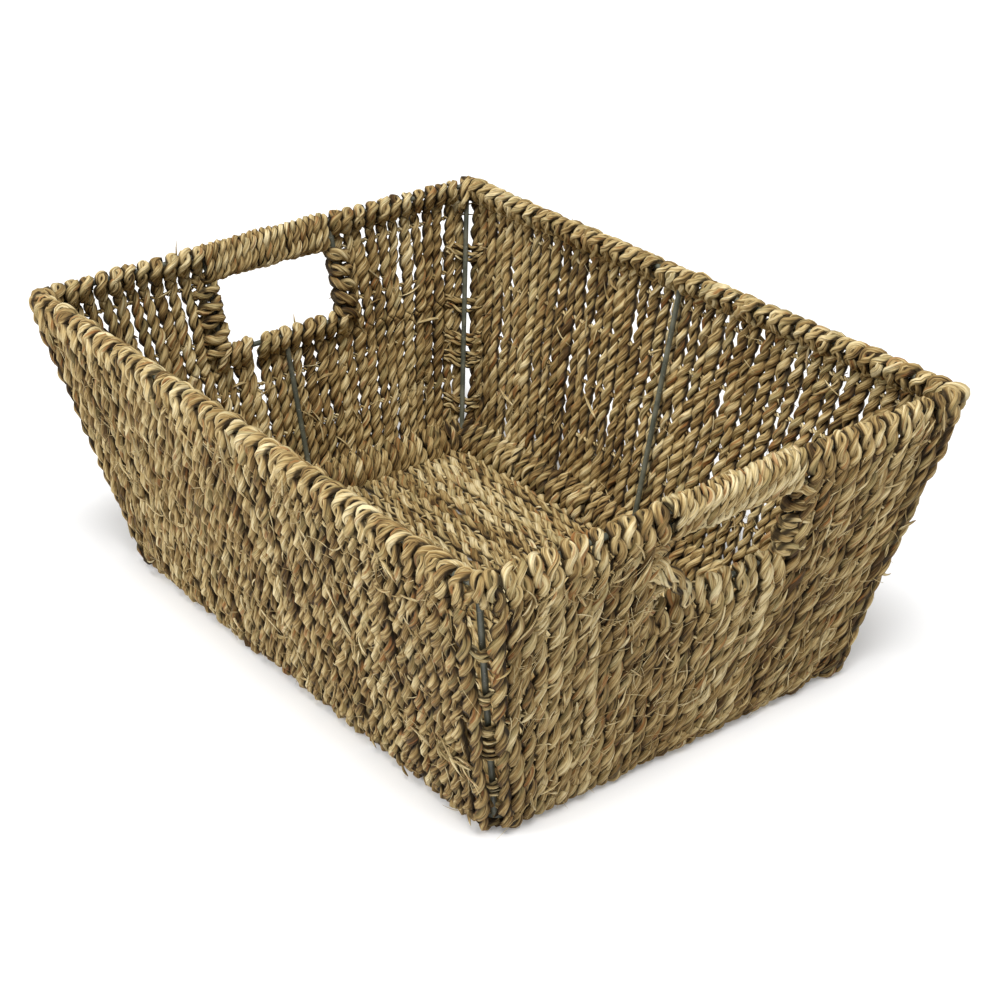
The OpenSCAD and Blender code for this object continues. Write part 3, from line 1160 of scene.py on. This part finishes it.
@dataclass
class CornerLashings:
    """Strands bound round one corner upright, into the cords on each side of it."""

    cage: Cage
    finishes: dict
    rows: tuple = (0.24, 0.44, 0.58, 0.66, 0.84)
    strands_in_row: int = 3
    step: float = 1.2 * MM
    lashing_turn: float = 17 * MM
    loop_turn: float = 20 * MM

    def build(self, name: str, sx: int, sy: int, seed: int) -> bpy.types.Object:
        """The lashings of one corner.

        Args:
            name: the corner's name.
            sx: which end of the basket, -1 or 1.
            sy: which long wall, -1 or 1.
            seed: start of the random numbers.

        Returns:
            The piece.
        """
        piece = StrandPiece("lashing_" + name, seed, Section.THIN_PLY)
        rng = piece.rng
        low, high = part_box("corner_stile_" + name)
        x = sorted((abs(low.x), abs(high.x)))
        y = sorted((abs(low.y), abs(high.y)))
        w = self.cage.wire
        top = np.array([sx * (x[1] - w), sy * (y[1] - w), high.z])
        foot = np.array([sx * (x[0] + w), sy * (y[0] + w), low.z])
        to_x = np.array([-sx * 1.0, 0, 0])
        to_y = np.array([0, -sy * 1.0, 0])
        outward = unit(np.array([sx * 1.0, sy * 1.0, 0.0]))
        for share in self.rows:
            for k in range(self.strands_in_row):
                at = top + (foot - top) * (share + (k - 1) * 0.018 + rng.normal(0, 0.003))
                drop = np.array([0, 0, -1.0]) * rng.uniform(2.0, 4.5) * MM
                rise = np.array([0, 0, 1.0]) * rng.uniform(1.0, 4.0) * MM
                bulge = rng.uniform(3.0, 3.9) * MM
                control = [
                    at + to_x * 11 * MM - to_y * 5.2 * MM + rise,
                    at + to_x * 6 * MM - to_y * 5.0 * MM,
                    at + (to_x * 0.5 - to_y) * 3.2 * MM + drop * 0.8,
                    at + outward * bulge + drop,
                    at + (to_y * 0.5 - to_x) * 3.2 * MM + drop * 0.8,
                    at + to_y * 6 * MM - to_x * 5.0 * MM,
                    at + to_y * 11 * MM - to_x * 5.2 * MM + rise,
                ]
                line = smooth_path(np.array(control), self.step)
                s = lengths(line)
                ends = taper(s, 5 * MM, 0.2)
                phase = TURN * s / self.lashing_turn + rng.uniform(0, 6.3)
                sizes = (0.95 * MM * ends, 0.6 * MM * ends, 1.15 * MM * np.sqrt(ends))
                tone = 0.68 + rng.normal(0, 0.08)
                piece.strands += lay_cord(rng, line, unit(line - at), phase, *sizes, tone)
        self.add_loop(piece, top, unit(foot - top), outward, to_y)
        return piece.finish(self.finishes, Kind.WALL, "corner_lashing_" + name)

    def add_loop(
        self,
        piece: StrandPiece,
        top: np.ndarray,
        down: np.ndarray,
        outward: np.ndarray,
        along: np.ndarray,
    ) -> None:
        """Adds the one cord that goes over the corner of the rim wire.

        Args:
            piece: where it goes.
            top: middle of the rim wire at the corner.
            down: the way down the upright.
            outward: the way out of the corner, level.
            along: the way along the end wall.
        """
        r = self.cage.wire / MM + 2.5
        arc = [(r * math.cos(a), -r * math.sin(a), 0.2) for a in np.radians([150, 110, 70, 30])]
        behind = [(-3.0, 11, 2.0), (-4.2, 4, 0.8)]
        before = [(4.0, 5, 1.4), (3.0, 10, 3.4), (1.6, 15, 4.2)]
        line = smooth_path(np.array(behind + arc + before) * MM, self.step)
        axis = top + line[:, 0:1] * outward + line[:, 1:2] * down + line[:, 2:3] * along
        s = lengths(axis)
        ends = taper(s, 4 * MM, 0.3)
        sizes = (1.5 * MM * ends, 1.0 * MM * ends, 1.85 * MM * np.sqrt(ends))
        way = np.gradient(line, axis=0)
        out = unit(way[:, 1:2] * outward - way[:, 0:1] * down)
        piece.strands += lay_cord(piece.rng, axis, out, TURN * s / self.loop_turn, *sizes, 0.78)


@dataclass
class Fray:
    """Loose fibres and leaf ends that stand out of the cords of one wall."""

    weave: WallWeave
    hairs: int = 520
    leaves: int = 170
    tufts: int = 14
    tufted: float = 0.4
    outside: float = 0.75
    skin: float = 2.7 * MM
    lowest: float = 1.5 * MM

    def build(self) -> list:
        """The wall's loose fibres and leaf ends."""
        hairs = self.build_kind("hairs", Section.HAIR, self.hairs)
        return [hairs, self.build_kind("leaves", Section.LEAF, self.leaves)]

    def half(self, down: float) -> float:
        """Half the length of the wall that fibres stand out of, at a distance down it."""
        return float(self.weave.wall.half_at(np.array([down]))[0]) - 6 * MM

    def in_hole(self, u: float, down: float) -> bool:
        """True where the hand hole is."""
        cage = self.weave.cage
        return self.weave.is_end and abs(u) < cage.hole_half + 2 * MM and down < cage.sill + 6 * MM

    def pick_root(self, rng: np.random.Generator, tufts: list) -> tuple:
        """Where a strand grows from: near a tuft, or anywhere on the wall.

        Args:
            rng: source of random numbers.
            tufts: pairs of a share of the wall's half length, and a distance down.

        Returns:
            The place along the wall and down it.
        """
        if rng.random() < self.tufted:
            share, middle = tufts[rng.integers(0, len(tufts))]
            down = middle + rng.normal(0, 3.5 * MM)
            return share * self.half(down) + rng.normal(0, 4 * MM), down
        down = rng.uniform(6 * MM, self.weave.wall.slope - 2 * MM)
        return rng.uniform(-1, 1) * self.half(down), down

    def build_kind(self, kind: str, section: Section, count: int) -> bpy.types.Object:
        """One kind of loose strand.

        Args:
            kind: hairs or leaves.
            section: their cross-section.
            count: how many.

        Returns:
            The piece.
        """
        weave, wall = self.weave, self.weave.wall
        leaf = section is Section.LEAF
        piece = StrandPiece(f"fray_{kind}_{wall.name}", weave.seed + (90 if leaf else 91), section)
        rng = piece.rng
        a, up, o = wall.axes
        t = np.linspace(0, 1, 7)
        arch = np.sin(t * math.pi * 0.85) if leaf else t**1.3
        tufts = [
            (rng.uniform(-1, 1), rng.choice(TWINE_ROWS) + rng.normal(0, 2 * MM)) for _ in range(self.tufts)
        ]
        while len(piece.strands) < count:
            u, down = self.pick_root(rng, tufts)
            if self.in_hole(u, down) or abs(u) > self.half(down):
                continue
            side = 1 if rng.random() < self.outside else -1
            length = (rng.uniform(7, 18) if leaf else rng.uniform(3, 14)) * MM
            lean = rng.normal(0.35, 0.6) if leaf else rng.uniform(-1.5, 1.5)
            way = (a * math.sin(lean) + up * math.cos(lean)) * rng.choice([-1, 1])
            root = wall.place(np.array([u]), np.array([down]), np.array([SHEET_MID + side * self.skin]))[0]
            lift = (rng.uniform(0.3, 1.4) if leaf else rng.uniform(0.6, 3.2)) * MM
            bend = np.cross(way, o) * rng.normal(0, 0.4) * length
            line = root + np.outer(t * length, way) + np.outer(t**2, bend) + np.outer(arch * lift, o * side)
            if line[:, 2].min() < self.lowest:
                continue
            if leaf:
                radius = rng.uniform(0.5, 1.1) * MM * (0.25 + 0.75 * np.sin(t * math.pi) ** 0.6)
            else:
                radius = rng.uniform(0.12, 0.26) * MM * (1.1 - 0.8 * t)
            out = np.tile(o * side, (len(t), 1))
            tone = np.clip(rng.normal(0.76, 0.17), 0.2, 1.2)
            piece.strands.append(lay_strand(rng, line, radius, line, radius * 0.25, out, tone))
        return piece.finish(weave.finishes, Kind.WALL)


# ---------------------------------------------------------------- the studio


@dataclass(frozen=True)
class Lamp:
    """A soft square lamp aimed at the basket: its place, side and power."""

    name: str
    place: tuple
    size: float
    power: float

    def build(self) -> None:
        """The lamp, in the scene."""
        data = bpy.data.lights.new(self.name, "AREA")
        data.shape = "SQUARE"
        data.size = self.size
        data.energy = self.power
        lamp = bpy.data.objects.new(self.name, data)
        lamp.location = self.place
        lamp.rotation_mode = "QUATERNION"
        lamp.rotation_quaternion = (Vector((0, 0, 0.05)) - Vector(self.place)).to_track_quat("-Z", "Y")
        bpy.context.scene.collection.objects.link(lamp)


@dataclass
class Studio:
    """A plain pale floor, soft light and the camera."""

    azimuth: float = 52.466
    elevation: float = 28.228
    distance: float = 1.04379
    lens: float = 72.03
    target: tuple = (0.01543, 0.00552, 0.0735)
    roll: float = -0.547
    floor_half: float = 40.0
    floor_grey: float = 0.72
    floor_glow: float = 0.18
    sky: float = 0.36
    lamps: tuple = (
        Lamp("key", (-1.75, -5.25, 3.25), 2.5, 237.5),
        Lamp("top", (1.75, -1.0, 5.5), 2.5, 412.5),
    )

    def build(self) -> None:
        """The floor, the lights, the world and the camera."""
        self.build_floor()
        world = bpy.data.worlds.new("studio")
        bpy.context.scene.world = world
        world.use_nodes = True
        world.node_tree.nodes["Background"].inputs["Color"].default_value = (1.0, 1.0, 1.0, 1)
        world.node_tree.nodes["Background"].inputs["Strength"].default_value = self.sky
        for lamp in self.lamps:
            lamp.build()
        self.build_camera()
        bpy.context.scene.view_settings.view_transform = "Standard"

    def build_floor(self) -> None:
        """The floor, of pale paper that glows a little."""
        bm = bmesh.new()
        bmesh.ops.create_grid(bm, x_segments=1, y_segments=1, size=self.floor_half)
        mesh = bpy.data.meshes.new("floor")
        bm.to_mesh(mesh)
        bm.free()
        material = bpy.data.materials.new("floor_paper")
        paper = Nodes(material).shader.inputs
        paper["Base Color"].default_value = (*[self.floor_grey] * 3, 1)
        paper["Roughness"].default_value = 0.9
        paper["Emission Color"].default_value = (1, 1, 1, 1)
        paper["Emission Strength"].default_value = self.floor_glow
        mesh.materials.append(material)
        floor = bpy.data.objects.new("floor", mesh)
        bpy.context.scene.collection.objects.link(floor)

    def build_camera(self) -> None:
        """The camera, aimed at the basket."""
        a, e = math.radians(self.azimuth), math.radians(self.elevation)
        back = Vector((math.sin(a) * math.cos(e), -math.cos(a) * math.cos(e), math.sin(e)))
        data = bpy.data.cameras.new("camera")
        data.lens = self.lens
        data.sensor_width = 36
        data.clip_start = 0.01
        camera = bpy.data.objects.new("camera", data)
        camera.rotation_mode = "QUATERNION"
        camera.location = Vector(self.target) + back * self.distance
        aim = (-back).to_track_quat("-Z", "Y")
        camera.rotation_quaternion = aim @ Quaternion((0, 0, 1), math.radians(self.roll))
        bpy.context.scene.collection.objects.link(camera)
        bpy.context.scene.camera = camera


def main() -> None:
    """Builds the basket's seagrass round the CAD cage, and the studio."""
    logging.basicConfig(level=logging.INFO, format="%(name)s: %(message)s")
    cage = Cage()
    cage.paint()
    finishes = {kind: SeagrassFinish(kind).build() for kind in Kind}
    for i, (name, wall) in enumerate(cage.walls.items()):
        weave = WallWeave(cage, wall, PLANS[name], 100 * (i + 1), finishes)
        weave.build()
        if weave.is_end:
            HandHole(weave).build()
        Fray(weave).build()
    BaseWeave(cage, finishes).build()
    lashings = CornerLashings(cage, finishes)
    corners = (("front_left", -1, -1), ("front_right", 1, -1), ("back_left", -1, 1), ("back_right", 1, 1))
    for i, (name, sx, sy) in enumerate(corners):
        lashings.build(name, sx, sy, 700 + i)
    Studio().build()
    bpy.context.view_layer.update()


if __name__ == "__main__":
    main()
